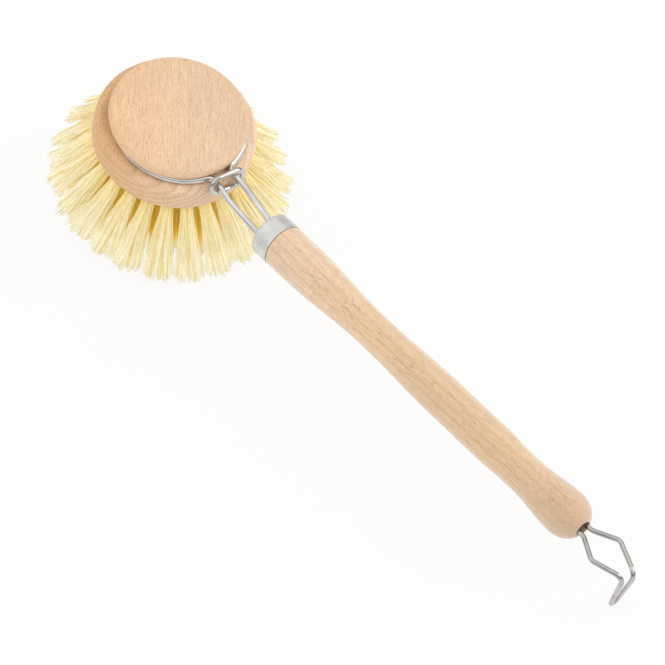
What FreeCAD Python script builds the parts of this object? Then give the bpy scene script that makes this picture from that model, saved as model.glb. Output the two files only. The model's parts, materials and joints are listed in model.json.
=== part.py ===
import FreeCAD, Part
import math
import os
import re
import Sketcher

# Dish brush with a changeable round head, lying on a table on its front tufts and the tip of its hanger.
# Lengths are in millimetres and angles in degrees. The brush's own frame has its origin in the middle of the
# head at the height of the wire groove, +Z up out of the head's flat top and +X towards the handle.

SIZES = {
    # head block
    "flange_diameter": 50.0,
    "disc_inset": 3.5,
    "disc_wall": 0.4,
    "block_height": 14.0,
    "disc_edge_radius": 1.6,
    "disc_lip_radius": 0.7,
    "shoulder_radius": 3.0,
    "foot_radius": 1.0,
    # tuft holes, tufts and the staples that anchor them
    "ring_inset": 4.5,
    "middle_ring_share": 0.683,
    "inner_ring_share": 0.366,
    "hole_wall": 1.5,
    "outer_lean_angle": 33.0,
    "middle_lean_angle": 21.5,
    "inner_lean_angle": 10.5,
    "tuft_turn_angle": 4.4,
    "hole_diameter": 3.8,
    "hole_depth": 6.5,
    "drill_point_angle": 118.0,
    "tuft_fit": 0.05,
    "mouth_clearance": 0.2,
    "bristle_length": 25.8,
    "tuft_gap": 0.3,
    "staple_thickness": 0.4,
    "staple_width": 1.6,
    "staple_bite": 0.2,
    "staple_fit": 0.05,
    "fold_thickness": 0.8,
    # clip wire
    "clip_wire_diameter": 2.0,
    "groove_play": 0.1,
    "loop_inset": 1.45,
    "loop_offset": 1.25,
    "loop_bend_radius": 2.2,
    "arm_spread": 6.6,
    "bow_spread": 7.2,
    "arm_lead": 3.3,
    "bow_lead": 7.8,
    "arm_length": 20.6,
    "bow_drop": 0.6,
    "arm_bend_radius": 14.0,
    "leg_spread": 5.5,
    "leg_drop": 1.0,
    "leg_depth": 30.0,
    "leg_fit": 0.05,
    # lock link
    "link_wire_diameter": 1.7,
    "link_gap": 0.1,
    "link_overhang": 0.2,
    "link_side_gap": 0.45,
    "link_play": 0.42,
    "link_drop": 0.2,
    "link_roll_angle": -8.0,
    "link_lean_angle": -20.0,
    # ferrule
    "ferrule_lead": 2.5,
    "ferrule_diameter": 14.2,
    "ferrule_length": 6.5,
    "ferrule_wall": 0.35,
    "ferrule_lip": 1.2,
    "ferrule_edge_radius": 0.6,
    "ferrule_fit": 0.05,
    # handle, whose shares are stations along its length from the ferrule's front
    "handle_rise_angle": 13.25,
    "handle_length": 137.2,
    "handle_shoulder_radius": 0.6,
    "front_diameter": 14.06,
    "front_share": 0.102,
    "neck_diameter": 10.74,
    "neck_share": 0.355,
    "grip_diameter": 12.3,
    "grip_start_share": 0.583,
    "grip_end_share": 0.707,
    "tail_neck_diameter": 11.4,
    "tail_neck_share": 0.8235,
    "knob_diameter": 14.0,
    "knob_share": 0.95,
    "end_rim": 0.4,
    "hanger_bore_diameter": 4.9,
    "hanger_bore_depth": 26.0,
    "leg_bore_spare": 1.0,
    # hanger, measured from the handle's end along its axis, sideways and downwards
    "hanger_wire_diameter": 1.5,
    "hanger_leg_spare": 2.0,
    "hanger_leg_fit": 0.05,
    "hanger_leg_splay": 0.15,
    "hanger_leg_run_out": 1.8,
    "corner_reach": 9.2,
    "corner_spread": 11.0,
    "hook_reach": 19.7,
    "hook_spread": 3.15,
    "hook_stagger": 1.3,
    "hook_shift": -1.0,
    "hook_depth": 15.9,
    "hook_return": 3.3,
    "hook_tip_flat": 0.3,
    "hook_inner_radius": 0.2,
    "hanger_leg_bend_radius": 5.0,
    "hanger_bend_radius": 2.3,
    "neck_bend_radius": 2.4,
    # how far a cut runs past the face that it opens
    "overrun": 3.0,
}

doc = FreeCAD.newDocument("dish_brush")
sheet = doc.addObject("Spreadsheet::Sheet", "sizes")
for row, (name, number) in enumerate(SIZES.items(), start=1):
    sheet.set(f"A{row}", name)
    sheet.set(f"B{row}", str(number))
    sheet.setAlias(f"B{row}", name)
doc.recompute()

SIZE_WORDS = re.compile(r"\b(" + "|".join(sorted(SIZES, key=len, reverse=True)) + r")\b")
X_WAY = FreeCAD.Vector(1, 0, 0)
Y_WAY = FreeCAD.Vector(0, 1, 0)
Z_WAY = FreeCAD.Vector(0, 0, 1)
LEFT, RIGHT = 1, -1
pieces = []


def size(name):
    """The number that a named size has in the sheet."""
    return float(sheet.get(name))


def value(formula):
    """The number that a formula of named sizes gives."""
    return float(sheet.evalExpression(formula))


def bound(formula):
    """A formula of named sizes as an expression that other objects can hold."""
    return SIZE_WORDS.sub(r"sizes.\1", formula)


def bind(thing, **formulas):
    """Ties properties of an object to formulas of named sizes."""
    for property_name, formula in formulas.items():
        thing.setExpression(property_name, bound(formula))


def keep(piece, label, placement):
    """Names a finished piece and notes its place in the brush's own frame."""
    piece.Label = label
    pieces.append((piece, placement))


def turned(axis, angle):
    return FreeCAD.Placement(FreeCAD.Vector(), FreeCAD.Rotation(axis, angle))


def moved(x, y, z):
    return FreeCAD.Placement(FreeCAD.Vector(x, y, z), FreeCAD.Rotation())


def origin_feature(body, role):
    return next(feature for feature in body.Origin.OriginFeatures if feature.Role == role)


def sketch_on(body, name, role):
    """An empty sketch on one of the body's own origin planes."""
    sketch = body.newObject("Sketcher::SketchObject", name)
    sketch.AttachmentSupport = (origin_feature(body, role), [""])
    sketch.MapMode = "FlatFace"
    return sketch


def arc_through(start, end, radius, turn):
    """The short arc from start to end that turns left or right, drawn counter-clockwise as sketches do."""
    middle = (start + end) * 0.5
    chord = end - start
    to_centre = FreeCAD.Vector(-chord.y, chord.x, 0).normalize() * turn
    rise = math.sqrt(max(radius ** 2 - (chord.Length / 2) ** 2, 0))
    crown = middle + to_centre * (rise - radius)
    if turn == LEFT:
        return Part.Arc(start, crown, end)
    return Part.Arc(end, crown, start)


def outline(sketch, corners):
    """Draws a closed outline. A corner is (x, y) where a straight edge leaves it, or (x, y, radius, turn)
    where an arc does, all as formulas of named sizes, and every one is tied to the sheet."""
    points = [FreeCAD.Vector(value(corner[0]), value(corner[1]), 0) for corner in corners]
    edges = []
    for number, corner in enumerate(corners):
        start = points[number]
        end = points[(number + 1) % len(points)]
        if len(corner) == 2:
            edge = sketch.addGeometry(Part.LineSegment(start, end))
            edges.append((edge, 1, 2))
        else:
            edge = sketch.addGeometry(arc_through(start, end, value(corner[2]), corner[3]))
            edges.append((edge, 1, 2) if corner[3] == LEFT else (edge, 2, 1))
    for number, corner in enumerate(corners):
        edge, start_end, _ = edges[number]
        before, _, before_end = edges[number - 1]
        sketch.addConstraint(Sketcher.Constraint("Coincident", before, before_end, edge, start_end))
        across, along = ("across", corner[0], "DistanceX", -2), ("along", corner[1], "DistanceY", -1)
        for word, formula, kind, axis in (across, along):
            if formula == "0":
                sketch.addConstraint(Sketcher.Constraint("PointOnObject", edge, start_end, axis))
            else:
                distance = Sketcher.Constraint(kind, edge, start_end, value(formula))
                tie(sketch, distance, f"{word}_{number}", formula)
        if len(corner) > 2:
            tie(sketch, Sketcher.Constraint("Radius", edge, value(corner[2])), f"round_{number}", corner[2])


def tie(sketch, constraint, name, formula):
    """Adds a dimension to a sketch under a name and binds it to a formula."""
    sketch.renameConstraint(sketch.addConstraint(constraint), name)
    sketch.setExpression(f"Constraints.{name}", bound(formula))


def circle_at(sketch, x, y, diameter, name):
    """A circle whose centre and diameter are tied to formulas."""
    centre = FreeCAD.Vector(value(x), value(y), 0)
    edge = sketch.addGeometry(Part.Circle(centre, Z_WAY, value(diameter) / 2))
    for word, formula, kind, axis in (("across", x, "DistanceX", -2), ("along", y, "DistanceY", -1)):
        if formula == "0":
            sketch.addConstraint(Sketcher.Constraint("PointOnObject", edge, 3, axis))
        else:
            tie(sketch, Sketcher.Constraint(kind, edge, 3, value(formula)), f"{name}_{word}", formula)
    tie(sketch, Sketcher.Constraint("Diameter", edge, value(diameter)), f"{name}_diameter", diameter)


def revolved(body, sketch, axis, name, kind="PartDesign::Revolution"):
    """A full turn of a sketch about one of its own axes."""
    feature = body.newObject(kind, name)
    feature.Profile = sketch
    feature.ReferenceAxis = (sketch, [axis])
    feature.Angle = 360
    return feature


# Head block: a turned beech disc with the groove for the clip's loop, and drilled holes for the tufts.
LIP = "(clip_wire_diameter / 2 + groove_play)"
DISC_TOP = f"({LIP} + disc_lip_radius + disc_wall + disc_edge_radius)"
DISC_RADIUS = "(flange_diameter / 2 - disc_inset)"
LOOP_RADIUS = f"({DISC_RADIUS} - loop_inset)"
GROOVE_CENTRE = f"({LOOP_RADIUS} - loop_offset)"
FOOT = f"({DISC_TOP} - block_height)"
head_frame = turned(Z_WAY, size("tuft_turn_angle"))

head = doc.addObject("PartDesign::Body", "head_block")
head_outline = sketch_on(head, "head_outline", "XZ_Plane")
outline(head_outline, [
    ("0", DISC_TOP),
    (f"{DISC_RADIUS} - disc_edge_radius", DISC_TOP, "disc_edge_radius", RIGHT),
    (DISC_RADIUS, f"{DISC_TOP} - disc_edge_radius"),
    (DISC_RADIUS, f"{LIP} + disc_lip_radius", "disc_lip_radius", RIGHT),
    (f"{DISC_RADIUS} - disc_lip_radius", LIP),
    (GROOVE_CENTRE, LIP, LIP, LEFT),
    (f"{GROOVE_CENTRE} - {LIP}", "0", LIP, LEFT),
    (GROOVE_CENTRE, f"-{LIP}"),
    ("flange_diameter / 2 - shoulder_radius", f"-{LIP}", "shoulder_radius", RIGHT),
    ("flange_diameter / 2", f"-{LIP} - shoulder_radius"),
    ("flange_diameter / 2", f"{FOOT} + foot_radius", "foot_radius", RIGHT),
    ("flange_diameter / 2 - foot_radius", FOOT),
    ("0", FOOT),
])
revolved(head, head_outline, "V_Axis", "turned_block")

# The loops of tufts, from the outside in: each loop's radius, lean and count as formulas.
OUTER_RING = "(flange_diameter / 2 - ring_inset)"


def loop_of(radius, lean):
    """A loop with as many tufts as its radius has room for."""
    return radius, lean, f"floor(2 * pi * {radius} / (hole_diameter + hole_wall))"


LOOPS = {
    "outer": loop_of(OUTER_RING, "outer_lean_angle"),
    "middle": loop_of(f"({OUTER_RING} * middle_ring_share)", "middle_lean_angle"),
    "inner": loop_of(f"({OUTER_RING} * inner_ring_share)", "inner_lean_angle"),
    "centre": ("0", "0", "1"),
}
POINT_DEPTH = "(hole_diameter / 2 / tan(drill_point_angle / 2))"


def drilled_loop(loop):
    """One drilled hole of a loop, leaning with its tufts, and its copies round the head."""
    radius, lean, count = LOOPS[loop]
    sketch = sketch_on(head, f"{loop}_hole_outline", "XZ_Plane")
    sketch.AttachmentOffset = FreeCAD.Placement(
        FreeCAD.Vector(value(radius), value(FOOT), 0), FreeCAD.Rotation(Z_WAY, value(lean)))
    if loop != "centre":
        sketch.setExpression(".AttachmentOffset.Base.x", bound(radius))
        sketch.setExpression(".AttachmentOffset.Rotation.Angle", bound(f"{lean} * 1 deg"))
    sketch.setExpression(".AttachmentOffset.Base.y", bound(FOOT))
    outline(sketch, [
        ("0", "-overrun"),
        ("hole_diameter / 2", "-overrun"),
        ("hole_diameter / 2", "hole_depth"),
        ("0", f"hole_depth + {POINT_DEPTH}"),
    ])
    hole = revolved(head, sketch, "V_Axis", f"{loop}_hole", "PartDesign::Groove")
    if loop == "centre":
        return
    pattern = head.newObject("PartDesign::PolarPattern", f"{loop}_holes")
    pattern.Originals = [hole]
    pattern.Axis = (origin_feature(head, "Z_Axis"), [""])
    pattern.Angle = 360
    pattern.Occurrences = int(value(count))
    bind(pattern, Occurrences=count)
    head.Tip = pattern


for loop in LOOPS:
    drilled_loop(loop)
keep(head, "head_block", head_frame)

# Tufts: bundles of fibre folded into their holes. They keep their round section in the wood and flare beyond
# it until neighbours in a loop all but touch. A staple lies in each fold, and its ends bite into the wood.
TUFT_RADIUS = "(hole_diameter / 2 - tuft_fit)"
FOLD_END = "(-hole_depth)"


def tip_radius(loop):
    """How wide a loop's tufts flare, from the room that each has at the tips."""
    radius, lean, count = LOOPS["inner" if loop == "centre" else loop]
    return f"(({radius} + bristle_length * sin({lean})) * sin(180 / {count}) - tuft_gap / 2)"


def tuft_frame(loop, number):
    """Where a tuft's hole opens: its frame has +Z along the tuft, out of the wood, and Y round the head."""
    radius, lean, count = LOOPS[loop]
    round_head = turned(Z_WAY, 360 * number / value(count))
    mouth = moved(value(radius), 0, value(FOOT))
    return head_frame * round_head * mouth * turned(Y_WAY, 180 - value(lean))


def tuft(loop, number):
    """One flaring tuft with the slot through its fold that the staple lies in."""
    lean = LOOPS[loop][1]
    label = f"tuft_{loop}_{number + 1:02d}"
    body = doc.addObject("PartDesign::Body", label)
    sketch = sketch_on(body, f"{label}_outline", "XZ_Plane")
    outline(sketch, [
        ("0", FOLD_END, TUFT_RADIUS, LEFT),
        (TUFT_RADIUS, f"{FOLD_END} + {TUFT_RADIUS}"),
        (TUFT_RADIUS, f"hole_diameter / 2 * tan({lean}) + mouth_clearance"),
        (tip_radius(loop), "bristle_length"),
        ("0", "bristle_length"),
    ])
    revolved(body, sketch, "V_Axis", f"{label}_bundle")
    slot = body.newObject("PartDesign::SubtractiveBox", f"{label}_slot")
    bind(slot, Length="staple_thickness + 2 * staple_fit", Width="hole_diameter + 2 * staple_bite",
         Height="staple_width + 2 * staple_fit")
    slot.setExpression(".AttachmentOffset.Base.x", bound("-staple_thickness / 2 - staple_fit"))
    slot.setExpression(".AttachmentOffset.Base.y", bound("-hole_diameter / 2 - staple_bite"))
    slot.setExpression(".AttachmentOffset.Base.z", bound(f"{FOLD_END} + fold_thickness - staple_fit"))
    slot.AttachmentSupport = (origin_feature(body, "XY_Plane"), [""])
    slot.MapMode = "FlatFace"
    keep(body, label, tuft_frame(loop, number))


def staple(loop, number):
    """One bit of flat wire across the bottom of a hole."""
    bar = doc.addObject("Part::Box", f"staple_{loop}_{number + 1:02d}")
    bind(bar, Length="staple_thickness", Width="hole_diameter + 2 * staple_bite", Height="staple_width")
    corner = moved(value("-staple_thickness / 2"), value("-hole_diameter / 2 - staple_bite"),
                   value(f"{FOLD_END} + fold_thickness"))
    bar.Placement = tuft_frame(loop, number) * corner
    return bar


staples = []
for loop, (_, _, count) in LOOPS.items():
    for number in range(int(value(count))):
        tuft(loop, number)
        staples.append(staple(loop, number))
staple_group = doc.addObject("Part::Compound", "tuft_staples")
staple_group.Links = staples
keep(staple_group, "tuft_staples", FreeCAD.Placement())


# Bent wire: straight runs joined by tangent arcs.
def bent_run(points, radii):
    """Edges of a wire that is bent at every inner point, each to its own radius."""
    edges = []
    start = points[0]
    for before, corner, after, radius in zip(points, points[1:], points[2:], radii):
        back = (before - corner).normalize()
        ahead = (after - corner).normalize()
        half_turn = (math.pi - back.getAngle(ahead)) / 2
        reach = radius * math.tan(half_turn)
        inner = (back + ahead).normalize()
        crown = corner + inner * (radius / math.cos(half_turn) - radius)
        edges.append(Part.LineSegment(start, corner + back * reach).toShape())
        edges.append(Part.Arc(corner + back * reach, crown, corner + ahead * reach).toShape())
        start = corner + ahead * reach
    edges.append(Part.LineSegment(start, points[-1]).toShape())
    return edges


def wire_solid(edges, diameter):
    """A round wire drawn along a chain of edges."""
    path = Part.Wire(edges)
    start = path.OrderedVertexes[0].Point
    first = path.OrderedEdges[0]
    way = first.tangentAt(first.FirstParameter)
    section = Part.Wire([Part.Circle(start, way, diameter / 2).toShape()])
    return path.makePipeShell([section], True, False)


def mirrored(point):
    return FreeCAD.Vector(point.x, -point.y, point.z)


# Clip wire: a loop in the head's groove, whose ends bend out into two arms that run into the handle.
loop_middle = FreeCAD.Vector(size("loop_offset"), 0, 0)
loop_radius = value(LOOP_RADIUS)
bend_reach = loop_radius + size("loop_bend_radius")
bend_side = size("arm_spread") / 2 + size("loop_bend_radius")
bend_middle = loop_middle + FreeCAD.Vector(math.sqrt(bend_reach ** 2 - bend_side ** 2), bend_side, 0)
loop_end = loop_middle + (bend_middle - loop_middle) * (loop_radius / bend_reach)
arm_root = bend_middle - FreeCAD.Vector(0, size("loop_bend_radius"), 0)
bend_crown = bend_middle + (((loop_end - bend_middle) + (arm_root - bend_middle)).normalize()
                            * size("loop_bend_radius"))
loop_far = loop_middle - FreeCAD.Vector(loop_radius, 0, 0)
arm_end = arm_root.x + size("arm_length")
handle_frame = (moved(arm_end, 0, -size("leg_drop")) * turned(Y_WAY, -size("handle_rise_angle"))
                * moved(size("ferrule_lead"), 0, 0))
arm = [
    arm_root,
    FreeCAD.Vector(arm_root.x + size("arm_lead"), size("arm_spread") / 2, 0),
    FreeCAD.Vector(arm_root.x + size("bow_lead"), size("bow_spread") / 2, -size("bow_drop")),
    FreeCAD.Vector(arm_end, size("leg_spread") / 2, -size("leg_drop")),
    handle_frame.multVec(FreeCAD.Vector(size("leg_depth"), size("leg_spread") / 2, 0)),
]
arm_radii = [size("arm_bend_radius")] * (len(arm) - 2)
clip_edges = bent_run([mirrored(point) for point in reversed(arm)], arm_radii)
clip_edges.append(Part.Arc(mirrored(arm_root), mirrored(bend_crown), mirrored(loop_end)).toShape())
clip_edges.append(Part.Arc(mirrored(loop_end), loop_far, loop_end).toShape())
clip_edges.append(Part.Arc(loop_end, bend_crown, arm_root).toShape())
clip_edges.extend(bent_run(arm, arm_radii))
clip = doc.addObject("Part::Feature", "clip_wire")
clip.Shape = wire_solid(clip_edges, size("clip_wire_diameter"))
keep(clip, "clip_wire", FreeCAD.Placement())

# Lock link: a closed oblong ring of wire round both arms, loose enough to slide over their bow.
LINK_HALF_HEIGHT = ("((clip_wire_diameter + link_wire_diameter) / 2 + link_play"
                    " + bow_spread / 2 * abs(sin(link_roll_angle)))")
LINK_HALF_RUN = (f"((bow_spread + clip_wire_diameter + link_wire_diameter) / 2 + link_side_gap"
                 f" - {LINK_HALF_HEIGHT})")
link = doc.addObject("PartDesign::Body", "lock_link")
link_path = sketch_on(link, "link_path", "XY_Plane")
outline(link_path, [
    ("0", f"-{LINK_HALF_HEIGHT}"),
    (LINK_HALF_RUN, f"-{LINK_HALF_HEIGHT}", LINK_HALF_HEIGHT, LEFT),
    (f"{LINK_HALF_RUN} + {LINK_HALF_HEIGHT}", "0", LINK_HALF_HEIGHT, LEFT),
    (LINK_HALF_RUN, LINK_HALF_HEIGHT),
    (f"-{LINK_HALF_RUN}", LINK_HALF_HEIGHT, LINK_HALF_HEIGHT, LEFT),
    (f"-{LINK_HALF_RUN} - {LINK_HALF_HEIGHT}", "0", LINK_HALF_HEIGHT, LEFT),
    (f"-{LINK_HALF_RUN}", f"-{LINK_HALF_HEIGHT}"),
])
link_section = sketch_on(link, "link_section", "YZ_Plane")
circle_at(link_section, f"-{LINK_HALF_HEIGHT}", "0", "link_wire_diameter", "wire")
ring = link.newObject("PartDesign::AdditivePipe", "link_ring")
ring.Profile = link_section
ring.Spine = link_path
across_arms = FreeCAD.Placement(FreeCAD.Vector(), FreeCAD.Rotation(Y_WAY, Z_WAY, X_WAY, "ZXY"))
link_room = value(f"{LINK_HALF_HEIGHT} * abs(sin(link_lean_angle)) + link_wire_diameter / 2")
link_stop = max(value("flange_diameter / 2 - link_overhang"), arm_root.x + link_room) + size("link_gap")
keep(link, "lock_link", moved(link_stop, 0, -size("link_drop")) * turned(Y_WAY, size("link_lean_angle"))
     * turned(X_WAY, size("link_roll_angle")) * across_arms)

# Ferrule: a short collar of sheet metal whose front edge is turned in over the end of the wood.
FERRULE_INSIDE = "(ferrule_diameter / 2 - ferrule_wall)"
ferrule = doc.addObject("PartDesign::Body", "ferrule")
ferrule_outline = sketch_on(ferrule, "ferrule_outline", "XZ_Plane")
outline(ferrule_outline, [
    ("0", f"{FERRULE_INSIDE} - ferrule_lip"),
    ("0", "ferrule_diameter / 2 - ferrule_edge_radius", "ferrule_edge_radius", RIGHT),
    ("ferrule_edge_radius", "ferrule_diameter / 2"),
    ("ferrule_length", "ferrule_diameter / 2"),
    ("ferrule_length", FERRULE_INSIDE),
    ("ferrule_wall", FERRULE_INSIDE),
    ("ferrule_wall", f"{FERRULE_INSIDE} - ferrule_lip"),
])
revolved(ferrule, ferrule_outline, "H_Axis", "pressed_collar")
keep(ferrule, "ferrule", handle_frame)

# Handle: turned beech, with a tenon in the ferrule, a waist, a grip, a second waist and a round knob.
TENON = f"({FERRULE_INSIDE} - ferrule_fit)"


def sweep_radius(run, rise):
    """The radius of each of two equal arcs that make an S-bend between two level stretches."""
    return f"(({run}) * ({run}) + ({rise}) * ({rise})) / (4 * abs({rise}))"


def s_bend(start, start_diameter, end, end_diameter):
    """Two corners of the handle's outline: the level stretch's end, and the middle of the S-bend after it."""
    radius = sweep_radius(f"{end} - {start}", f"({end_diameter} - {start_diameter}) / 2")
    turn = LEFT if value(end_diameter) > value(start_diameter) else RIGHT
    return [
        (start, f"{start_diameter} / 2", radius, turn),
        (f"({start} + {end}) / 2", f"({start_diameter} + {end_diameter}) / 4", radius, -turn),
    ]


FRONT, NECK, GRIP_START, GRIP_END, TAIL_NECK, KNOB = (
    f"({share} * handle_length)" for share in
    ("front_share", "neck_share", "grip_start_share", "grip_end_share", "tail_neck_share", "knob_share"))
END_RUN = f"(handle_length - {KNOB})"
END_REACH = "(hanger_bore_diameter / 2 + end_rim)"
END_DROP = f"(knob_diameter / 2 - {END_REACH})"
END_RADIUS = f"(({END_RUN} * {END_RUN} + {END_DROP} * {END_DROP}) / (2 * {END_DROP}))"
BORE_POINT = "(hanger_bore_diameter / 2 / tan(drill_point_angle / 2))"
handle = doc.addObject("PartDesign::Body", "handle")
handle_outline = sketch_on(handle, "handle_outline", "XZ_Plane")
outline(handle_outline, [
    ("ferrule_wall", "0"),
    ("ferrule_wall", TENON),
    ("ferrule_length", TENON),
    ("ferrule_length", "front_diameter / 2 - handle_shoulder_radius", "handle_shoulder_radius", RIGHT),
    ("ferrule_length + handle_shoulder_radius", "front_diameter / 2"),
    *s_bend(FRONT, "front_diameter", NECK, "neck_diameter"),
    *s_bend(NECK, "neck_diameter", GRIP_START, "grip_diameter"),
    (GRIP_START, "grip_diameter / 2"),
    *s_bend(GRIP_END, "grip_diameter", TAIL_NECK, "tail_neck_diameter"),
    *s_bend(TAIL_NECK, "tail_neck_diameter", KNOB, "knob_diameter"),
    (KNOB, "knob_diameter / 2", END_RADIUS, RIGHT),
    ("handle_length", END_REACH),
    ("handle_length", "hanger_bore_diameter / 2"),
    ("handle_length - hanger_bore_depth", "hanger_bore_diameter / 2"),
    (f"handle_length - hanger_bore_depth - {BORE_POINT}", "0"),
])
revolved(handle, handle_outline, "H_Axis", "turned_handle")
doc.recompute()
whole_handle = handle.Shape.Volume
leg_bores_outline = sketch_on(handle, "leg_bores_outline", "YZ_Plane")
for side, name in (("-", "right"), ("", "left")):
    circle_at(leg_bores_outline, f"{side}leg_spread / 2", "0", "clip_wire_diameter + 2 * leg_fit", name)
leg_bores = handle.newObject("PartDesign::Pocket", "leg_bores")
leg_bores.Profile = leg_bores_outline
leg_bores.Reversed = True
bind(leg_bores, Length="leg_depth + leg_bore_spare")
keep(handle, "handle", handle_frame)

# Hanger: two sprung legs in the handle's bore, a diamond-shaped loop, and a narrow tip bent down as a hook.
hook_middle = FreeCAD.Vector(size("hook_reach"), size("hook_shift"), 0)
neck_offset = FreeCAD.Vector(size("hook_stagger") / 2, size("hook_spread") / 2, 0)
tip_middle = hook_middle + FreeCAD.Vector(-size("hook_return"), 0, -size("hook_depth"))
hook_tip_radius = value("hanger_wire_diameter / 2 + hook_inner_radius")
tip_offset = FreeCAD.Vector(0, hook_tip_radius + size("hook_tip_flat") / 2, 0)
leg_half = value("hanger_bore_diameter / 2 - hanger_wire_diameter / 2 - hanger_leg_fit")
hanger_side = [
    FreeCAD.Vector(value("hanger_leg_spare - hanger_bore_depth"), leg_half, 0),
    FreeCAD.Vector(size("hanger_leg_run_out"), leg_half - size("hanger_leg_splay"), 0),
    FreeCAD.Vector(size("corner_reach"), size("corner_spread") / 2, 0),
]
hook_side = [hook_middle + neck_offset, tip_middle + tip_offset]
other_hook_side = [tip_middle - tip_offset, hook_middle - neck_offset]
other_side = [mirrored(point) for point in reversed(hanger_side)]
side_radii = [size(name) for name in ("hanger_leg_bend_radius", "hanger_bend_radius", "neck_bend_radius")]
tip_radii = [hook_tip_radius] * 2
hanger = doc.addObject("Part::Feature", "hanger")
hanger.Shape = wire_solid(bent_run(hanger_side + hook_side + other_hook_side + other_side,
                                   side_radii + tip_radii + side_radii[::-1]), size("hanger_wire_diameter"))
end_frame = handle_frame * moved(size("handle_length"), 0, 0)
keep(hanger, "hanger", end_frame)

# Rest: the brush is tipped about Y until its lowest tuft and the hanger's tip are level, and is then moved so
# that the origin is in the middle of its footprint, on the table.
outer_step = 360 / value(LOOPS["outer"][2])
nearest = size("tuft_turn_angle") % outer_step
nearest = min(nearest, outer_step - nearest)
edge_reach = value(f"{OUTER_RING} + bristle_length * sin(outer_lean_angle)"
                   f" - {tip_radius('outer')} * cos(outer_lean_angle)") * math.cos(math.radians(nearest))
edge_height = value(f"{FOOT} - bristle_length * cos(outer_lean_angle)"
                    f" - {tip_radius('outer')} * sin(outer_lean_angle)")
hook_tip = end_frame.multVec(tip_middle)
span = FreeCAD.Vector(hook_tip.x - edge_reach, hook_tip.z - edge_height, 0)
tilt = math.degrees(math.atan2(span.y, span.x) - math.asin(size("hanger_wire_diameter") / 2 / span.Length))
tipped = turned(Y_WAY, tilt)
doc.recompute()
if handle.Shape.Volume >= whole_handle:
    raise RuntimeError("the leg bores missed the handle")
box = FreeCAD.BoundBox()
for piece, placement in pieces:
    piece.Placement = tipped * placement
    box.add(piece.Shape.optimalBoundingBox(False))
rest = moved(-box.Center.x, -box.Center.y, -box.ZMin) * tipped
for piece, placement in pieces:
    piece.Placement = rest * placement
doc.recompute()

# Every object is checked before a file is written.
for thing in doc.Objects:
    if "Invalid" in thing.State or "Error" in thing.State:
        raise RuntimeError(f"{thing.Label} did not compute")
os.makedirs("parts", exist_ok=True)
for piece, _ in pieces:
    if piece.Shape.isNull() or not piece.Shape.isValid():
        raise RuntimeError(f"{piece.Label} has no valid shape")
for piece, _ in pieces:
    piece.Shape.exportStep(f"parts/{piece.Label}.step")
print(f"tilt {tilt:.4f} degrees, head middle at {rest.Base.x:.3f} {rest.Base.y:.3f} {rest.Base.z:.3f}")
print(f"overall {box.XLength:.2f} x {box.YLength:.2f} x {box.ZLength:.2f} mm")
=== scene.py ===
import json
import math
import random
from collections import namedtuple

import bmesh
import bpy
from mathutils import Color, Matrix, Vector


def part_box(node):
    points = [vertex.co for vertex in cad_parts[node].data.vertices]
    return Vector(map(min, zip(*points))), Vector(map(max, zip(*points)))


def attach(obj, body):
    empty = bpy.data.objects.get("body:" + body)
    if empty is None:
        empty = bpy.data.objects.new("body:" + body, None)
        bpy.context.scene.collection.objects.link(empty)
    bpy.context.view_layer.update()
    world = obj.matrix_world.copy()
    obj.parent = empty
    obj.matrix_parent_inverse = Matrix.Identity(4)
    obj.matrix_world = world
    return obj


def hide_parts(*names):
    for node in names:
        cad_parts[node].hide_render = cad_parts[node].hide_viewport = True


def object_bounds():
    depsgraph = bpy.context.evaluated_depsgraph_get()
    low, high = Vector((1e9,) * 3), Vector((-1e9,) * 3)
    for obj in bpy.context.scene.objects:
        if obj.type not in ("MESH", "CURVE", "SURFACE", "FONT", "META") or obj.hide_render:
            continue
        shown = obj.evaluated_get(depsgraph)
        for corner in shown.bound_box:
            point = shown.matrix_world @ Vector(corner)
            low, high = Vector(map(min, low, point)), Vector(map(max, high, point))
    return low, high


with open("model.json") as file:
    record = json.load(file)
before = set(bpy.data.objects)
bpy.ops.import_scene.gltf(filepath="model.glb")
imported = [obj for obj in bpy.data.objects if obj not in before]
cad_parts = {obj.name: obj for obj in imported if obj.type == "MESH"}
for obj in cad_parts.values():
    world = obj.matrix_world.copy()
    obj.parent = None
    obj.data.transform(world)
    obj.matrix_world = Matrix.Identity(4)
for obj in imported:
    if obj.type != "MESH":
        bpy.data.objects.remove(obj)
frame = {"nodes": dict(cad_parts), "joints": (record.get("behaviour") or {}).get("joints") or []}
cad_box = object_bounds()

# Head block. One round of beech, turned on a lathe: a flat-topped disc, the groove that the wire loop grips,
# and a wider flange below it. Fine-sanded and oiled, so that beech's short dark rays and growth rings show.
turn_joint = next(joint for joint in frame["joints"] if joint["name"] == "head_turn")
head_tilt = math.atan2(turn_joint["axis"][0], turn_joint["axis"][2])


def srgb(red, green, blue):
    """A colour as a screen shows it, 0 to 255, as the shader's linear value."""
    return (*Color((red / 255, green / 255, blue / 255)).from_srgb_to_scene_linear(), 1.0)


def node(tree, kind, inputs=(), **settings):
    """One shader node, with its sockets fed by other nodes' outputs or set to plain values."""
    made = tree.nodes.new("ShaderNode" + kind)
    for name, setting in settings.items():
        setattr(made, name, setting)
    for socket, source in dict(inputs).items():
        if isinstance(source, bpy.types.NodeSocket):
            tree.links.new(source, made.inputs[socket])
        else:
            made.inputs[socket].default_value = source
    return made


def combined(tree, operation, first, second=0.0):
    """Two values put together by one operation, such as ADD, MULTIPLY or MAXIMUM."""
    return node(tree, "Math", {0: first, 1: second}, operation=operation).outputs[0]


def ranged(tree, source, low, high, to_low=0.0, to_high=1.0):
    """A value stretched from one range to another, smoothly and without passing its ends."""
    ends = {"From Min": low, "From Max": high, "To Min": to_low, "To Max": to_high}
    made = node(tree, "MapRange", {"Value": source, **ends}, interpolation_type="SMOOTHSTEP")
    return made.outputs["Result"]


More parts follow.
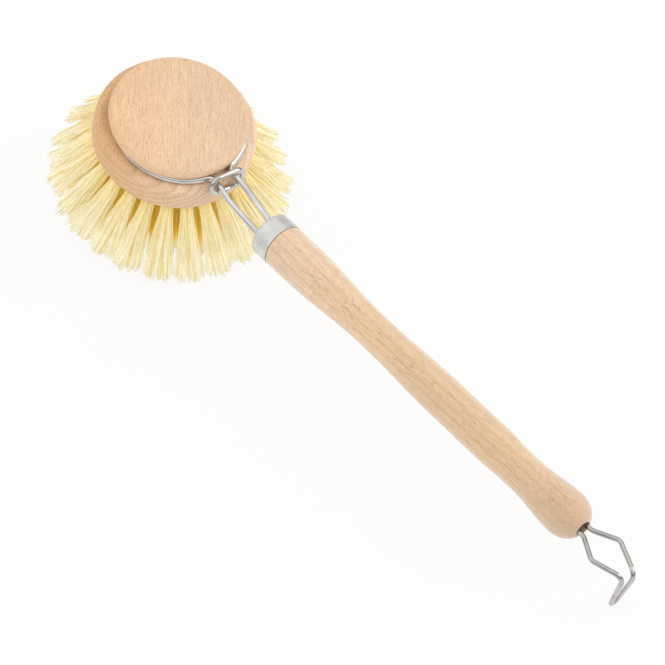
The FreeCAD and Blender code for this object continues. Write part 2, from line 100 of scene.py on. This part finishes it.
def mixed(tree, factor, first, second, blend="MIX"):
    """Two colours mixed: the node takes them at its sockets 6 and 7, and gives the mixture at output 2."""
    return node(tree, "Mix", {0: factor, 6: first, 7: second}, data_type="RGBA", blend_type=blend).outputs[2]


def stretched(tree, vector, x, y, z):
    """A place with each of its three numbers multiplied."""
    return node(tree, "VectorMath", {0: vector, 1: (x, y, z)}, operation="MULTIPLY").outputs[0]


def length_of(tree, vector):
    """How far a place lies from zero."""
    return node(tree, "VectorMath", {0: vector}, operation="LENGTH").outputs["Value"]


def noise(tree, place, detail, scale=1.0):
    """A soft random pattern between 0 and 1."""
    return node(tree, "TexNoise", {"Vector": place, "Scale": scale, "Detail": detail}).outputs["Fac"]


def shaded(tree, pattern, dark, light):
    """Shades from a noise pattern, whose values mostly lie between the two usual ones."""
    usual_low = 0.3
    usual_high = 0.7
    return ranged(tree, pattern, usual_low, usual_high, dark, light)


def effect_group(name, inputs, outputs):
    """An empty shader node group with named sockets: the group, what it is given, and what it gives."""
    tree = bpy.data.node_groups.new(name, "ShaderNodeTree")
    for label, kind in inputs.items():
        tree.interface.new_socket(label, in_out="INPUT", socket_type="NodeSocket" + kind)
    for label, kind in outputs.items():
        tree.interface.new_socket(label, in_out="OUTPUT", socket_type="NodeSocket" + kind)
    return tree, tree.nodes.new("NodeGroupInput").outputs, tree.nodes.new("NodeGroupOutput").inputs


def new_material(name):
    """A material, its node tree and its Principled shader."""
    material = bpy.data.materials.new(name)
    material.use_nodes = True
    return material, material.node_tree, material.node_tree.nodes["Principled BSDF"]


def dress(node_name, material):
    """Gives a piece that keeps its CAD shape its finish."""
    piece = frame["nodes"][node_name]
    piece.data.materials.clear()
    piece.data.materials.append(material)


# Beech, for the head and the handle. Grain is a place in millimetres from the tree's middle, with X along
# the fibres. Growth rings lie round X, and fine streaks, soft clouds and the marks of the rays run along it.
ring_drift = 9.0
ring_drift_pitch = (0.011, 0.045, 0.045)
late_wood_starts = 0.35
late_wood_full = 0.88
late_wood_fades = 0.86
streak_pitch = (0.22, 3.4, 3.4)
streak_shades = (0.89, 1.08)
streak_height = 0.5
cloud_pitch = (0.02, 0.07, 0.07)
cloud_shades = (0.95, 1.04)
ray_core = 0.14
ray_edge = 0.34
faintest_ray = 0.2
short_ray_depth = 0.7
oiled_roughness = 0.44
streak_roughness = 0.16
beech, beech_given, beech_gives = effect_group(
    "Beech",
    {"Grain": "Vector", "Pale": "Color", "Late": "Color", "Ray": "Color", "Ring Width": "Float",
     "Ring Depth": "Float", "Ray Depth": "Float", "Ray Length": "Float"},
    {"Color": "Color", "Roughness": "Float", "Height": "Float"})
drift = noise(beech, stretched(beech, beech_given["Grain"], *ring_drift_pitch), detail=2.0)
from_middle = length_of(beech, stretched(beech, beech_given["Grain"], 0, 1, 1))
wavy = combined(beech, "ADD", from_middle, combined(beech, "MULTIPLY", drift, ring_drift))
year = combined(beech, "FRACT", combined(beech, "DIVIDE", wavy, beech_given["Ring Width"]))
late_wood = combined(beech, "MULTIPLY", ranged(beech, year, late_wood_starts, late_wood_full),
                     ranged(beech, year, late_wood_fades, 1.0, 1.0, 0.0))
ring_mix = combined(beech, "MULTIPLY", late_wood, beech_given["Ring Depth"])
ringed = mixed(beech, ring_mix, beech_given["Pale"], beech_given["Late"])
streaks = noise(beech, stretched(beech, beech_given["Grain"], *streak_pitch), detail=3.0)
clouds = noise(beech, stretched(beech, beech_given["Grain"], *cloud_pitch), detail=1.0)
wood_shade = combined(beech, "MULTIPLY", shaded(beech, streaks, *streak_shades),
                      shaded(beech, clouds, *cloud_shades))
toned = mixed(beech, 1.0, ringed, wood_shade, "MULTIPLY")


def ray_marks(length, width, shift, share):
    """Short dark marks along the fibres: one in each stretched cell, in the given share of cells."""
    per_length = combined(beech, "DIVIDE", 1 / length, beech_given["Ray Length"])
    pitch = node(beech, "CombineXYZ", {"X": per_length, "Y": 1 / width, "Z": 1 / width}).outputs[0]
    pitched = {0: beech_given["Grain"], 1: pitch, 2: shift}
    place = node(beech, "VectorMath", pitched, operation="MULTIPLY_ADD").outputs[0]
    cells = node(beech, "TexVoronoi", {"Vector": place, "Scale": 1.0}).outputs
    drawn = node(beech, "SeparateColor", {0: cells["Color"]}).outputs
    there = combined(beech, "LESS_THAN", drawn["Red"], share)
    strength = ranged(beech, drawn["Green"], 0.0, 1.0, faintest_ray, 1.0)
    mark = ranged(beech, cells["Distance"], ray_core, ray_edge, 1.0, 0.0)
    return combined(beech, "MULTIPLY", combined(beech, "MULTIPLY", mark, there), strength)


long_rays = ray_marks(length=2.4, width=0.36, shift=(3.0, 7.0, 1.0), share=0.8)
short_rays = ray_marks(length=1.6, width=0.32, shift=(0.0, 2.0, 5.0), share=0.65)
rays = combined(beech, "MAXIMUM", long_rays, combined(beech, "MULTIPLY", short_rays, short_ray_depth))
ray_mix = combined(beech, "MULTIPLY", rays, beech_given["Ray Depth"])
beech.links.new(mixed(beech, ray_mix, toned, beech_given["Ray"]), beech_gives["Color"])
beech_rough = combined(beech, "ADD", combined(beech, "MULTIPLY", streaks, streak_roughness), oiled_roughness)
beech.links.new(beech_rough, beech_gives["Roughness"])
beech_height = combined(beech, "SUBTRACT", combined(beech, "MULTIPLY", streaks, streak_height), rays)
beech.links.new(beech_height, beech_gives["Height"])


def beech_material(name, to_grain, start, pith):
    """Beech whose fibres follow a piece: to_grain turns the object's axes to the grain's, about start."""
    to_millimetres = 1000.0
    material, tree, shader = new_material(name)
    grain = node(tree, "Mapping", {
        "Vector": node(tree, "TexCoord").outputs["Object"], "Scale": (to_millimetres,) * 3,
        "Rotation": to_grain.to_euler(),
        "Location": Vector(pith) - to_grain @ Vector(start) * to_millimetres})
    wood = node(tree, "Group", node_tree=beech)
    tree.links.new(grain.outputs[0], wood.inputs["Grain"])
    tree.links.new(wood.outputs["Color"], shader.inputs["Base Color"])
    tree.links.new(wood.outputs["Roughness"], shader.inputs["Roughness"])
    bump = node(tree, "Bump", {"Height": wood.outputs["Height"], "Strength": 0.25, "Distance": 0.0001})
    tree.links.new(bump.outputs[0], shader.inputs["Normal"])
    shader.inputs["Specular IOR Level"].default_value = 0.35
    return material, wood.inputs


fibre_turn = math.radians(-37)
head_pith = (0, 27, -36)
to_head_grain = Matrix.Rotation(-fibre_turn, 3, "Z") @ Matrix.Rotation(-head_tilt, 3, "Y")
head_beech, head_wood = beech_material("head_beech", to_head_grain, turn_joint["pos_m"], head_pith)
head_wood["Late"].default_value = srgb(212, 164, 120)
head_wood["Ray"].default_value = srgb(188, 132, 88)
head_wood["Ring Width"].default_value = 2.4
head_wood["Ray Length"].default_value = 1.0
# The flange's turned side cuts across the fibres and takes more oil, so its rings and rays show more than
# the sanded top's. Its side is painted paler than the top, as painted light, and one side of the head is
# painted warmer and darker, as painted shade. Places are in millimetres from the middle of the groove.
flange_below = head_pith[2] - 1.0
disc_face = head_pith[2] + 3.5
shade_full_side = head_pith[1] - 27.0
shade_gone_side = head_pith[1] + 10.0
top_ring_depth = 0.06
side_ring_depth = 0.44
top_ray_depth = 0.72
side_ray_depth = 1.2
top_shade_share = 0.5
top_pale = srgb(239, 204, 169)
side_pale_painted_light = srgb(247, 216, 186)
warm_painted_shade = srgb(238, 190, 136)
tree = head_beech.node_tree
in_grain = node(tree, "SeparateXYZ", {0: head_wood["Grain"].links[0].from_socket}).outputs
turned_side = ranged(tree, in_grain["Z"], flange_below, disc_face, 1.0, 0.0)
ring_depth = ranged(tree, turned_side, 0.0, 1.0, top_ring_depth, side_ring_depth)
tree.links.new(ring_depth, head_wood["Ring Depth"])
ray_depth = ranged(tree, turned_side, 0.0, 1.0, top_ray_depth, side_ray_depth)
tree.links.new(ray_depth, head_wood["Ray Depth"])
# Painted shade: one side of the head is painted warmer and darker, fully on the flange and half as much on
# the top.
painted_shade_side = ranged(tree, in_grain["Y"], shade_full_side, shade_gone_side, 1.0, 0.0)
painted_warm_shade = combined(tree, "MULTIPLY", painted_shade_side, ranged(tree, turned_side, 0.0, 1.0, top_shade_share, 1.0))
# Painted light: the flange's turned side is painted paler than the top.
pale_here = mixed(tree, turned_side, top_pale, side_pale_painted_light)
tree.links.new(mixed(tree, painted_warm_shade, pale_here, warm_painted_shade), head_wood["Pale"])
dress("head_block", head_beech)

# Tufts. Bundles of stiff plant fibre, folded in two, punched into drilled holes in loops round the head, and
# cut to length. They leave the wood as tight round bundles and flare until neighbours meet, and no two of
# them have quite the same lean, length and flare.
first_tuft = math.radians(4.4)
wood_foot = -0.0102
bristle_length = 0.0260
bundle_radius = 0.00172
bundle_straight = 0.0012
bundle_sunk = 0.0015
head_place = Matrix.Translation(turn_joint["pos_m"]) @ Matrix.Rotation(head_tilt, 4, "Y")
# A loop's radius is measured where its tufts leave the wood, and flare is a tuft's radius at its tips, both
# in metres. Lean is in degrees, and a higher curl makes the flare come later.
TuftLoop = namedtuple("TuftLoop", "count radius lean flare curl")
loops = {
    "outer": TuftLoop(count=24, radius=0.0205, lean=33.0, flare=0.0044, curl=1.35),
    "middle": TuftLoop(count=16, radius=0.0140, lean=21.5, flare=0.0057, curl=0.8),
    "inner": TuftLoop(count=8, radius=0.0075, lean=10.5, flare=0.0050, curl=0.8),
    "centre": TuftLoop(count=1, radius=0.0, lean=0.0, flare=0.0050, curl=0.8),
}
outer_lean = loops["outer"].lean

# One straight strand, a unit long, is doubled until there are enough for a bundle. Each has a number, and
# its map holds its own tone and the way along it.
strand_doublings = 9
strand_sides = 3
strand_width = 0.00036
strand_rings = 3
strands = bmesh.new()
strand_number = strands.verts.layers.int.new("strand")
strand_map = strands.loops.layers.uv.new("strand")
bmesh.ops.create_cone(strands, cap_ends=True, segments=strand_sides,
                      radius1=strand_width / 2, radius2=strand_width / 3, depth=1.0)
bmesh.ops.translate(strands, verts=strands.verts, vec=(0, 0, 0.5))
long_edges = [edge for edge in strands.edges if abs(edge.verts[0].co.z - edge.verts[1].co.z) > 0.5]
bmesh.ops.subdivide_edges(strands, edges=long_edges, cuts=strand_rings, use_grid_fill=True)
for face in strands.faces:
    face.smooth = True
strand_count = 1
for doubling in range(strand_doublings):
    copied = bmesh.ops.duplicate(strands, geom=strands.verts[:] + strands.edges[:] + strands.faces[:])
    for part in copied["geom"]:
        if isinstance(part, bmesh.types.BMVert):
            part[strand_number] += strand_count
    strand_count *= 2
tone_dice = random.Random(11)
strand_tones = [tone_dice.random() for _ in range(strand_count)]
for face in strands.faces:
    for corner in face.loops:
        corner[strand_map].uv = (strand_tones[corner.vert[strand_number]], corner.vert.co.z)


def colour_ramp(tree, source, stops):
    """Colours along a value: each stop is a place between 0 and 1 and its colour."""
    made = node(tree, "ValToRGB", {0: source})
    elements = made.color_ramp.elements
    first, *between, last = stops
    elements[0].position, elements[0].color = first
    elements[1].position, elements[1].color = last
    for place, colour in between:
        elements.new(place).color = colour
    return made.outputs["Color"]


mottle_scale = 900.0
mottle_shades = (0.94, 1.02)
fibre_roughness = (0.48, 0.62)
fibre_material, tree, shader = new_material("plant_fibre")
object_place = node(tree, "TexCoord").outputs["Object"]
strand_uv = node(tree, "SeparateXYZ", {0: node(tree, "UVMap", uv_map="strand").outputs[0]}).outputs
own_tone = strand_uv["X"]
along_strand = strand_uv["Y"]
root_to_tip = colour_ramp(tree, along_strand, [(0.08, srgb(253, 238, 178)), (0.3, srgb(255, 244, 200)),
                                               (0.6, srgb(255, 249, 225)), (1.0, srgb(255, 253, 238))])
toned_strand = colour_ramp(tree, own_tone, [(0.0, srgb(236, 218, 158)), (0.5, srgb(255, 254, 248))])
mottle = noise(tree, object_place, detail=2.0, scale=mottle_scale)
pale_fibre = mixed(tree, 1.0, mixed(tree, 1.0, root_to_tip, toned_strand, "MULTIPLY"),
                   shaded(tree, mottle, *mottle_shades), "MULTIPLY")
# How far a fibre lies outside of the outer tufts' middle lines, in metres: those deep inside are painted
# golden as painted shade, but for their tips, which are painted pale as if the light reached them again.
golden_painted_shade = srgb(242, 212, 92)
deep_inside = -0.0042
nearly_outside = -0.0006
tip_starts = 0.72
tip_lit = 0.96
outer_slope = math.tan(math.radians(outer_lean))
outer_foot = loops["outer"].radius + wood_foot * outer_slope
to_head = head_place.inverted()
in_head = node(tree, "Mapping", {"Vector": object_place, "Location": to_head.translation,
                                 "Rotation": to_head.to_euler()}).outputs[0]
height_in_head = node(tree, "SeparateXYZ", {0: in_head}).outputs["Z"]
from_axis = length_of(tree, stretched(tree, in_head, 1, 1, 0))
outside = combined(tree, "ADD", combined(tree, "SUBTRACT", from_axis, outer_foot),
                   combined(tree, "MULTIPLY", height_in_head, outer_slope))
lit = combined(tree, "MAXIMUM", ranged(tree, outside, deep_inside, nearly_outside),
               ranged(tree, along_strand, tip_starts, tip_lit))
# Painted shade: fibres deep inside the tufts take the golden colour, painted pale again at the tips.
fibre_colour = mixed(tree, lit, golden_painted_shade, pale_fibre)
tree.links.new(fibre_colour, shader.inputs["Base Color"])
tree.links.new(shaded(tree, mottle, *fibre_roughness), shader.inputs["Roughness"])
shader.inputs["Specular IOR Level"].default_value = 0.3
# The fibres are thin enough to pass light on to each other. A weak glow, less of it deep inside and more at
# the loose ends, stands in for that.
deep_glow = 0.4
outside_glow = 0.68
loose_from = 0.5
passed_on = combined(tree, "MAXIMUM", ranged(tree, lit, 0.0, 1.0, deep_glow, outside_glow),
                     ranged(tree, along_strand, loose_from, 1.0, deep_glow, 1.0))
tree.links.new(mixed(tree, 1.0, fibre_colour, passed_on, "MULTIPLY"), shader.inputs["Emission Color"])
shader.inputs["Emission Strength"].default_value = 0.28

# How strands differ within a tuft: they gather in clumps, a few stray, and the outer ones are cut a little
# shorter. Sizes are in metres, turns in radians, and the spreads of length are shares of it.
golden_angle = 2.39996
clumps = 10
clump_pull = (0.2, 0.6)
angle_scatter = 0.25
tip_scatter = 0.0008
stray_share = 0.06
stray_more = 2.8
strand_bow = 0.0003
strand_length_spread = 0.022
rounded_off = 0.0005
tuft_length_spread = 0.012
sweep_power = 1.4


def scattered(dice, spread):
    """A small random step sideways."""
    return Vector((dice.gauss(0, spread), dice.gauss(0, spread), 0))


def bristle_tuft(name, place, lean, flare, curl, swept, dice):
    """One bundle: each strand leaves the wood beside its neighbours and fans out to its own spot."""
    own_length = bristle_length * (1 + dice.gauss(0, tuft_length_spread))
    clump_spots = []
    for clump in range(clumps):
        out = math.sqrt((clump + 0.5) / clumps) * flare
        angle = clump * golden_angle + dice.uniform(0, 1)
        clump_spots.append(Vector((out * math.cos(angle), out * math.sin(angle), 0)))
    strand_paths = []
    for strand in range(strand_count):
        reach = math.sqrt((strand + 0.5) / strand_count)
        angle = strand * golden_angle + dice.uniform(-angle_scatter, angle_scatter)
        way = Vector((math.cos(angle), math.sin(angle), 0))
        root = way * reach * bundle_radius
        stray = stray_more if dice.random() < stray_share else 1.0
        tip = way * reach * flare + scattered(dice, tip_scatter) * stray
        nearest_clump = min(clump_spots, key=lambda spot: (spot - tip).length)
        tip = tip.lerp(nearest_clump, dice.uniform(*clump_pull))
        length = own_length * (1 + dice.gauss(0, strand_length_spread)) - reach * reach * rounded_off
        strand_paths.append((root, tip, length, scattered(dice, strand_bow)))
    tuft = strands.copy()
    number_layer = tuft.verts.layers.int["strand"]
    straight = bundle_straight + bundle_radius * math.tan(math.radians(lean))
    for vert in tuft.verts:
        root, tip, length, bow = strand_paths[vert[number_layer]]
        height = -bundle_sunk + vert.co.z * (length + bundle_sunk)
        free = max(0.0, (height - straight) / (length - straight))
        centre = root.lerp(tip, free ** curl) + bow * math.sin(math.pi * free)
        spot = Vector((centre.x + vert.co.x, centre.y + vert.co.y, height))
        vert.co = place @ spot + swept * free ** sweep_power
        vert.co.z = max(vert.co.z, cad_box[0].z)
    mesh = bpy.data.meshes.new(name)
    tuft.to_mesh(mesh)
    tuft.free()
    mesh.materials.append(fibre_material)
    piece = bpy.data.objects.new(name, mesh)
    bpy.context.scene.collection.objects.link(piece)
    return piece


# How tufts differ round the head, in degrees of lean and in metres at the tip: those towards the handle lean
# out more, and opposite it a few are pressed out and some swept towards it. The outer loop shows it most.
# The spread of flare is a share of it, and a higher narrowness makes for fewer such tufts.
front_lean_more = 9.0
side_lean_more = 2.0
pressed_lean_more = 7.0
pressed_side = math.radians(200)
pressed_narrowness = 8
swept_back = 0.0003
swept_forward = 0.0030
forward_side = math.radians(160)
forward_narrowness = 4
swept_aside = 0.0006
lean_spread = 1.0
side_lean_spread = 1.6
flare_spread = 0.08
to_handle = head_place.to_3x3() @ Vector((1, 0, 0))
for loop_name, loop in loops.items():
    lean_share = loop.lean / outer_lean
    for number in range(loop.count):
        cad_node = f"tuft_{loop_name}_{number + 1:02d}"
        tuft_dice = random.Random("fibres of " + cad_node)
        around = first_tuft + math.tau * number / loop.count
        pressed = max(0.0, math.cos(around - pressed_side)) ** pressed_narrowness
        lean_more = (front_lean_more * math.cos(around) + side_lean_more * math.sin(around)
                     + pressed_lean_more * pressed)
        own_lean = loop.lean + lean_more * lean_share + tuft_dice.uniform(-1, 1) * lean_spread
        side_lean = math.radians(tuft_dice.gauss(0, side_lean_spread))
        own_flare = loop.flare * (1 + tuft_dice.gauss(0, flare_spread))
        tuft_place = (head_place @ Matrix.Rotation(around, 4, "Z")
                      @ Matrix.Translation((loop.radius, 0, wood_foot)) @ Matrix.Rotation(side_lean, 4, "X")
                      @ Matrix.Rotation(math.pi - math.radians(own_lean), 4, "Y"))
        forward = ((1 + math.cos(around - forward_side)) / 2) ** forward_narrowness
        swept = Vector((0, swept_aside, 0)) + to_handle * (swept_forward * forward - swept_back)
        tuft_piece = bristle_tuft(f"bristles_{loop_name}_{number + 1:02d}", tuft_place, own_lean, own_flare,
                                  loop.curl, swept * lean_share, tuft_dice)
        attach(tuft_piece, "head")
        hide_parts(cad_node)
strands.free()

# Staples. Bits of flat wire, one in the fold of each tuft, punched into the bottoms of the drilled holes.
# Like the brush's other wires they are drawn metal, with dull patches and fine scuffs all over.
patch_scale = 130.0
patch_edges = (0.35, 0.7)
patch_roughness = 0.06
scuff_scale = 2600.0
scuff_roughness = 0.06
wire_wear, wear_given, wear_gives = effect_group(
    "Wire wear", {"Place": "Vector", "Clean": "Color", "Dull": "Color"},
    {"Color": "Color", "Roughness": "Float", "Height": "Float"})
patches = noise(wire_wear, wear_given["Place"], detail=2.0, scale=patch_scale)
dull_here = ranged(wire_wear, patches, *patch_edges)
scuffs = noise(wire_wear, wear_given["Place"], detail=2.0, scale=scuff_scale)
wear_colour = mixed(wire_wear, dull_here, wear_given["Clean"], wear_given["Dull"])
wire_wear.links.new(wear_colour, wear_gives["Color"])
wear_rough = combined(wire_wear, "ADD", combined(wire_wear, "MULTIPLY", dull_here, patch_roughness),
                      shaded(wire_wear, scuffs, 0.0, scuff_roughness))
wire_wear.links.new(wear_rough, wear_gives["Roughness"])
wire_wear.links.new(scuffs, wear_gives["Height"])


def wire_material(name, clean, dull, roughness):
    """Bare metal wire, with its colour where it is clean and where it is dull."""
    material, tree, shader = new_material(name)
    wear = node(tree, "Group", node_tree=wire_wear)
    tree.links.new(node(tree, "TexCoord").outputs["Object"], wear.inputs["Place"])
    wear.inputs["Clean"].default_value = clean
    wear.inputs["Dull"].default_value = dull
    tree.links.new(wear.outputs["Color"], shader.inputs["Base Color"])
    tree.links.new(combined(tree, "ADD", wear.outputs["Roughness"], roughness), shader.inputs["Roughness"])
    bump = node(tree, "Bump", {"Height": wear.outputs["Height"], "Strength": 0.05, "Distance": 0.00003})
    tree.links.new(bump.outputs[0], shader.inputs["Normal"])
    shader.inputs["Metallic"].default_value = 1.0
    return material


dress("tuft_staples", wire_material("staple_wire", srgb(190, 188, 184), srgb(160, 156, 150), roughness=0.3))

# Clip wire. One length of tinned spring wire: its loop lies in the head's groove, and its two arms bow out,
# close in again and go side by side into the handle. Drawn wire with a dull shine.
dress("clip_wire", wire_material("spring_wire", srgb(228, 225, 222), srgb(210, 206, 202), roughness=0.15))

# Lock link. A closed oblong ring of bright wire, bent round both of the clip's arms. It slides along them:
# at the head it holds the loop shut.
dress("lock_link", wire_material("bright_wire", srgb(216, 213, 209), srgb(194, 190, 186), roughness=0.12))

# Ferrule. A short collar pressed from zinc-plated sheet, its front edge turned in over the end of the wood.
# The plating has large soft-edged crystals and a few rubbed marks.
crystal_scale = 420.0
crystal_roughness = 0.05
rub_scale = 700.0
rub_edges = (0.5, 0.75)
rub_depth = 0.35
rub_roughness = 0.12
plating_roughness = 0.4
zinc, tree, shader = new_material("zinc_sheet")
object_place = node(tree, "TexCoord").outputs["Object"]
crystals = node(tree, "TexVoronoi", {"Vector": object_place, "Scale": crystal_scale}).outputs
crystal = node(tree, "SeparateColor", {0: crystals["Color"]}).outputs["Red"]
rubbed = noise(tree, object_place, detail=4.0, scale=rub_scale)
plating = mixed(tree, ranged(tree, crystal, 0.0, 1.0), srgb(222, 221, 217), srgb(234, 233, 229))
rub_mix = ranged(tree, rubbed, *rub_edges, 0.0, rub_depth)
tree.links.new(mixed(tree, rub_mix, plating, srgb(206, 203, 197)), shader.inputs["Base Color"])
zinc_rough = combined(tree, "ADD", combined(tree, "MULTIPLY", crystal, crystal_roughness),
                      combined(tree, "MULTIPLY", rubbed, rub_roughness))
tree.links.new(combined(tree, "ADD", zinc_rough, plating_roughness), shader.inputs["Roughness"])
zinc_bump = node(tree, "Bump", {"Height": rubbed, "Strength": 0.15, "Distance": 0.0001})
tree.links.new(zinc_bump.outputs[0], shader.inputs["Normal"])
shader.inputs["Metallic"].default_value = 0.9
dress("ferrule", zinc)

# Handle. Turned beech with a waist, a grip, a second waist and a round knob, sanded and oiled. Its fibres
# run along it, and it has a drilled bore in its end for the hanger.
head_to_handle = math.radians(13.25)
handle_slope = head_tilt - head_to_handle
handle_pith = (0, 24, 21)
ferrule_low, ferrule_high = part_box("ferrule")
handle_beech, handle_wood = beech_material("handle_beech", Matrix.Rotation(-handle_slope, 3, "Y"),
                                           (ferrule_low + ferrule_high) / 2, handle_pith)
handle_wood["Late"].default_value = srgb(217, 172, 122)
handle_wood["Ray"].default_value = srgb(182, 122, 70)
handle_wood["Ring Width"].default_value = 2.7
handle_wood["Ring Depth"].default_value = 0.36
handle_wood["Ray Depth"].default_value = 0.85
handle_wood["Ray Length"].default_value = 1.4
# The grip has yellowed from use. The knob is painted a little darker and the bore's wall darker still, as
# painted shade. Places are in millimetres from the ferrule and from the handle's middle line.
grip_span = (8.0, 50.0)
knob_span = (105.0, 130.0)
bore_span = (100.0, 104.0)
bore_edge = (2.5, 2.62)
front_pale = srgb(241, 207, 171)
grip_pale = srgb(237, 200, 154)
knob_painted_shade = srgb(223, 187, 150)
bore_painted_shade = srgb(206, 174, 146)
tree = handle_beech.node_tree
handle_grain = handle_wood["Grain"].links[0].from_socket
along_handle = node(tree, "SeparateXYZ", {0: handle_grain}).outputs["X"]
from_line = node(tree, "VectorMath", {0: handle_grain, 1: handle_pith}, operation="SUBTRACT").outputs[0]
out_from_line = length_of(tree, stretched(tree, from_line, 0, 1, 1))
# Painted shade: the bore's wall is painted darker.
in_bore = combined(tree, "MULTIPLY", ranged(tree, out_from_line, *bore_edge, 1.0, 0.0),
                   ranged(tree, along_handle, *bore_span))
used = mixed(tree, ranged(tree, along_handle, *grip_span), front_pale, grip_pale)
# Painted shade: the knob is painted a little darker.
grip_and_knob_shade = mixed(tree, ranged(tree, along_handle, *knob_span), used, knob_painted_shade)
tree.links.new(mixed(tree, in_bore, grip_and_knob_shade, bore_painted_shade), handle_wood["Pale"])
# Sanding leaves a fine fuzz on the round sides, which pales them.
handle_shader = tree.nodes["Principled BSDF"]
handle_shader.inputs["Sheen Weight"].default_value = 0.8
handle_shader.inputs["Sheen Roughness"].default_value = 0.6
dress("handle", handle_beech)

# Hanger. Thinner tinned wire with two sprung legs in the handle's bore, bent to a diamond with a narrow tip.
# The tip is bent down as a hook.
dress("hanger", wire_material("hanger_wire", srgb(202, 199, 197), srgb(170, 167, 166), roughness=0.1))

# Studio. A plain pale floor, a pale surround, and two soft lights: a wide one from the right and a weaker
# one from the left. The camera stands where the photograph's did.
floor_reach = 3.0
floor_grey = 0.9
floor_whiteness = 0.86
white = (1.0, 1.0, 1.0, 1.0)
floor_mesh = bpy.data.meshes.new("floor")
floor_bmesh = bmesh.new()
bmesh.ops.create_grid(floor_bmesh, x_segments=1, y_segments=1, size=floor_reach)
floor_bmesh.to_mesh(floor_mesh)
floor_bmesh.free()
floor = bpy.data.objects.new("floor", floor_mesh)
bpy.context.scene.collection.objects.link(floor)
floor_paint, tree, shader = new_material("floor_paint")
shader.inputs["Base Color"].default_value = (floor_grey, floor_grey, floor_grey, 1.0)
shader.inputs["Roughness"].default_value = 0.9
shader.inputs["Specular IOR Level"].default_value = 0.0
seen_by = node(tree, "LightPath").outputs
through_or_mirrored = combined(tree, "MAXIMUM", seen_by["Is Glossy Ray"], seen_by["Is Transmission Ray"])
seen = combined(tree, "MAXIMUM", seen_by["Is Camera Ray"], through_or_mirrored)
plain_white = node(tree, "Emission", {"Color": white, "Strength": 1.0})
whitened = node(tree, "MixShader", {0: combined(tree, "MULTIPLY", seen, floor_whiteness),
                                    1: shader.outputs[0], 2: plain_white.outputs[0]})
tree.links.new(whitened.outputs[0], tree.nodes["Material Output"].inputs["Surface"])
floor_mesh.materials.append(floor_paint)

# The surround is white where it is seen. Wires mirror it darker near the horizon, as in a room, and it
# lights the brush a little less than white. The mix node takes plain values at its sockets 2 and 3.
surround_light = 0.87
horizon_light = 0.36
horizon_span = (0.4, 0.66)
surround = bpy.data.worlds.new("surround")
surround.use_nodes = True
bpy.context.scene.world = surround
tree = surround.node_tree
seen_by = node(tree, "LightPath").outputs
skyward = node(tree, "SeparateXYZ", {0: node(tree, "TexCoord").outputs["Generated"]}).outputs["Z"]
mirrored_light = ranged(tree, skyward, *horizon_span, horizon_light, 1.0)
light_parts = {0: seen_by["Is Glossy Ray"], 2: surround_light, 3: mirrored_light}
light_here = node(tree, "Mix", light_parts).outputs[0]
plainly_seen = combined(tree, "MAXIMUM", seen_by["Is Camera Ray"], seen_by["Is Transmission Ray"])
backdrop = tree.nodes["Background"]
backdrop.inputs["Color"].default_value = white
tree.links.new(combined(tree, "MAXIMUM", plainly_seen, light_here), backdrop.inputs["Strength"])


def softbox(name, place, size, power):
    """A square soft light that faces the brush."""
    brush_middle = Vector((0, 0, 0.02))
    lamp = bpy.data.lights.new(name, "AREA")
    lamp.size = size
    lamp.energy = power
    light = bpy.data.objects.new(name, lamp)
    light.location = place
    light.rotation_euler = (brush_middle - Vector(place)).to_track_quat("-Z", "Y").to_euler()
    bpy.context.scene.collection.objects.link(light)


softbox("wide_light", place=(0.55, 0.85, 0.65), size=0.7, power=3.5)
softbox("weak_light", place=(-0.6, -0.9, 0.5), size=0.6, power=0.9)

camera_place = (0.434834, -0.379222, 0.634409)
camera_turn = (42.8407, -0.5905, 49.8429)
camera_data = bpy.data.cameras.new("camera")
camera_data.sensor_width = 36.0
camera_data.lens = 154.87
camera = bpy.data.objects.new("camera", camera_data)
camera.location = camera_place
camera.rotation_euler = [math.radians(angle) for angle in camera_turn]
bpy.context.scene.collection.objects.link(camera)
bpy.context.scene.camera = camera
bpy.context.scene.view_settings.view_transform = "Standard"
